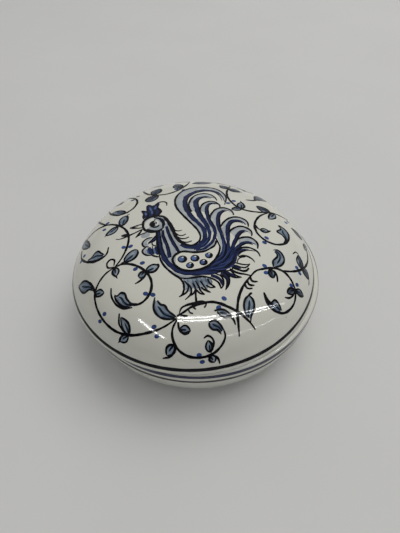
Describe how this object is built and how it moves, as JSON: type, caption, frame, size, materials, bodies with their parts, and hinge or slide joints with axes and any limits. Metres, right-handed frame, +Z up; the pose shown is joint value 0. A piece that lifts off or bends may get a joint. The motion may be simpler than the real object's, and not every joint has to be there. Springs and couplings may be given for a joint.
{
  "type": "trinket box",
  "caption": "Round porcelain trinket box: a shallow dish on a foot ring with a loose domed lid, glazed off-white and painted with a blue rooster among leafy scrolls.",
  "frame": {"origin": "centre of the foot ring, on the surface the box stands on", "axes": "+Z up through the dish; -Y towards the side the rooster's feet point to, which is the front; +X to the right seen from the front"},
  "size_m": [0.1014, 0.1, 0.047],
  "materials": {
    "glaze": "clear gloss glaze over off-white porcelain",
    "bisque": "bare fired porcelain, matte",
    "black_line": "black-blue brush line under gloss glaze",
    "cobalt": "deep cobalt brush colour under gloss glaze",
    "berry_blue": "mid blue dots under gloss glaze",
    "blue_wash": "thin grey-blue wash under gloss glaze"
  },
  "bodies": {
    "base": {"base": "glaze"},
    "lid": {"lid": "glaze"}
  },
  "joints": [
    {"name": "lid_lift", "type": "slide", "parent": "base", "child": "lid", "axis": [0, 0, 1], "range_m": [0, 0.06]}
  ]
}
